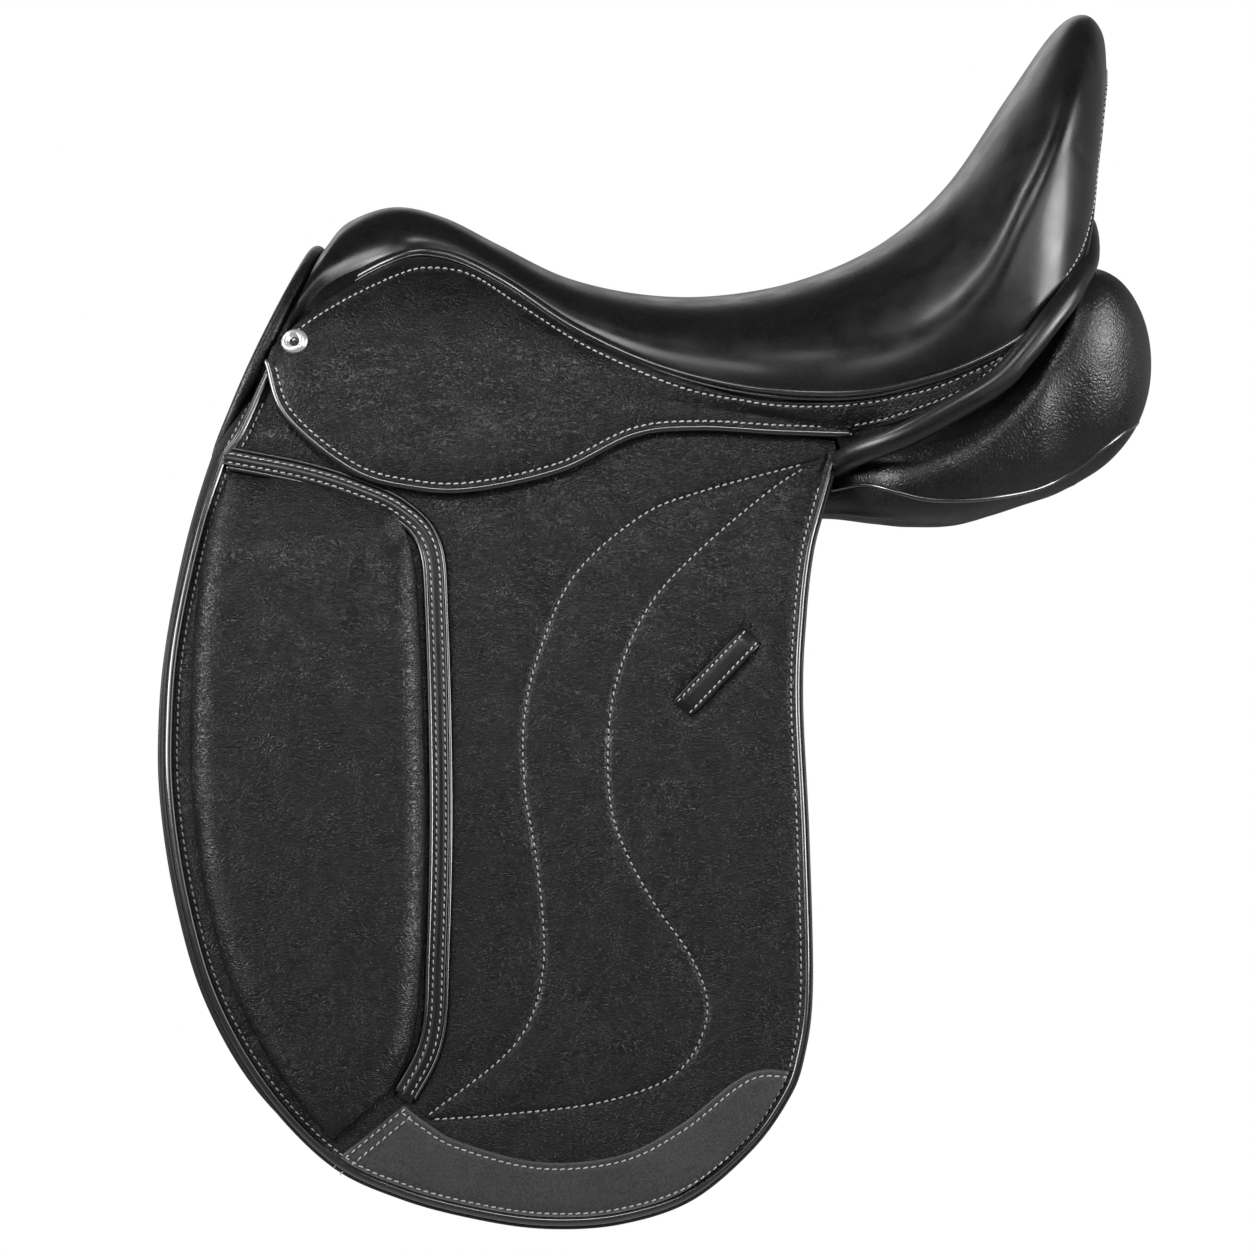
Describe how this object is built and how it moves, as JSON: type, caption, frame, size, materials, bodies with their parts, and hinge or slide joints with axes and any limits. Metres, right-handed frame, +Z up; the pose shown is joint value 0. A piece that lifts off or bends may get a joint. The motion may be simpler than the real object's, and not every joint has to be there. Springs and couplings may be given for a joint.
{
  "type": "dressage saddle",
  "caption": "Black leather English saddle with a deep crowned seat, long straight flaps with knee pads, lifting skirts and flaps, girth straps and stirrup bars with catches.",
  "frame": {"origin": "plane of symmetry, at the top of the gullet channel below the deepest part of the seat", "axes": "+Z up, -X towards the horse's head, -Y the horse's left (near) side"},
  "size_m": [0.5113, 0.4114, 0.6245],
  "materials": {
    "seat_leather": "glossy smooth",
    "grain_leather": "satin grained",
    "panel_leather": "satin pebbled",
    "trim_leather": "glossy smooth",
    "strap_leather": "matt",
    "webbing": "woven",
    "foam": "matt",
    "tree_wood": "varnished",
    "steel": "brushed",
    "chrome": "polished"
  },
  "bodies": {
    "root": {"seat_cover": "seat_leather", "seat_foam": "foam", "seat_web_long": "webbing", "seat_web_cross": "webbing", "left_seat_welt": "trim_leather", "right_seat_welt": "trim_leather", "left_tree_rail": "tree_wood", "right_tree_rail": "tree_wood", "tree_cantle": "tree_wood", "tree_head": "tree_wood", "head_plate": "steel", "gullet_plate": "steel", "arch_lining": "panel_leather", "left_tree_spring": "steel", "right_tree_spring": "steel", "tree_rivets": "steel", "left_stirrup_bar": "steel", "right_stirrup_bar": "steel", "left_catch_pin": "steel", "right_catch_pin": "steel", "cantle_back": "panel_leather", "rear_roll": "panel_leather", "front_roll": "panel_leather", "left_skirt_root": "grain_leather", "right_skirt_root": "grain_leather", "left_nail": "chrome", "right_nail": "chrome", "left_sweat_flap": "strap_leather", "right_sweat_flap": "strap_leather", "left_girth_web": "webbing", "right_girth_web": "webbing", "left_panel": "panel_leather", "right_panel": "panel_leather", "gullet_lining": "panel_leather"},
    "left_flap": {"left_flap": "grain_leather", "left_knee_pad": "grain_leather", "left_seam_band": "trim_leather", "left_toe_patch": "trim_leather", "left_keeper": "trim_leather"},
    "left_skirt": {"left_skirt": "grain_leather"},
    "left_front_billet": {"left_front_billet": "strap_leather"},
    "left_rear_billet": {"left_rear_billet": "strap_leather"},
    "left_bar_catch": {"left_bar_catch": "steel"},
    "right_flap": {"right_flap": "grain_leather", "right_knee_pad": "grain_leather", "right_seam_band": "trim_leather", "right_toe_patch": "trim_leather", "right_keeper": "trim_leather"},
    "right_skirt": {"right_skirt": "grain_leather"},
    "right_front_billet": {"right_front_billet": "strap_leather"},
    "right_rear_billet": {"right_rear_billet": "strap_leather"},
    "right_bar_catch": {"right_bar_catch": "steel"}
  },
  "joints": [
    {"name": "left_flap_lift", "type": "hinge", "parent": "root", "child": "left_flap", "pos_m": [-0.208, -0.10864, 0.02], "axis": [-0.9893, 0.0502, 0.137], "range_deg": [0, 75]},
    {"name": "left_skirt_lift", "type": "hinge", "parent": "left_flap", "child": "left_skirt", "pos_m": [-0.208, -0.10864, 0.02], "axis": [-0.9893, 0.0502, 0.137], "range_deg": [0, 48]},
    {"name": "left_front_billet_swing", "type": "hinge", "parent": "root", "child": "left_front_billet", "pos_m": [-0.098, -0.1176, -0.046], "axis": [0, -0.9497, 0.3131], "range_deg": [-5, 5]},
    {"name": "left_rear_billet_swing", "type": "hinge", "parent": "root", "child": "left_rear_billet", "pos_m": [-0.002, -0.1176, -0.046], "axis": [0, -0.9497, 0.3131], "range_deg": [-5, 5]},
    {"name": "left_bar_catch_lift", "type": "hinge", "parent": "root", "child": "left_bar_catch", "pos_m": [-0.112, -0.0895, 0.022], "axis": [0, -0.9336, 0.3584], "range_deg": [0, 35]},
    {"name": "right_flap_lift", "type": "hinge", "parent": "root", "child": "right_flap", "pos_m": [-0.208, 0.10864, 0.02], "axis": [0.9893, 0.0502, -0.137], "range_deg": [0, 75]},
    {"name": "right_skirt_lift", "type": "hinge", "parent": "right_flap", "child": "right_skirt", "pos_m": [-0.208, 0.10864, 0.02], "axis": [0.9893, 0.0502, -0.137], "range_deg": [0, 48]},
    {"name": "right_front_billet_swing", "type": "hinge", "parent": "root", "child": "right_front_billet", "pos_m": [-0.098, 0.1176, -0.046], "axis": [0, -0.9497, -0.3131], "range_deg": [-5, 5]},
    {"name": "right_rear_billet_swing", "type": "hinge", "parent": "root", "child": "right_rear_billet", "pos_m": [-0.002, 0.1176, -0.046], "axis": [0, -0.9497, -0.3131], "range_deg": [-5, 5]},
    {"name": "right_bar_catch_lift", "type": "hinge", "parent": "root", "child": "right_bar_catch", "pos_m": [-0.112, 0.0895, 0.022], "axis": [0, -0.9336, -0.3584], "range_deg": [0, 35]}
  ]
}
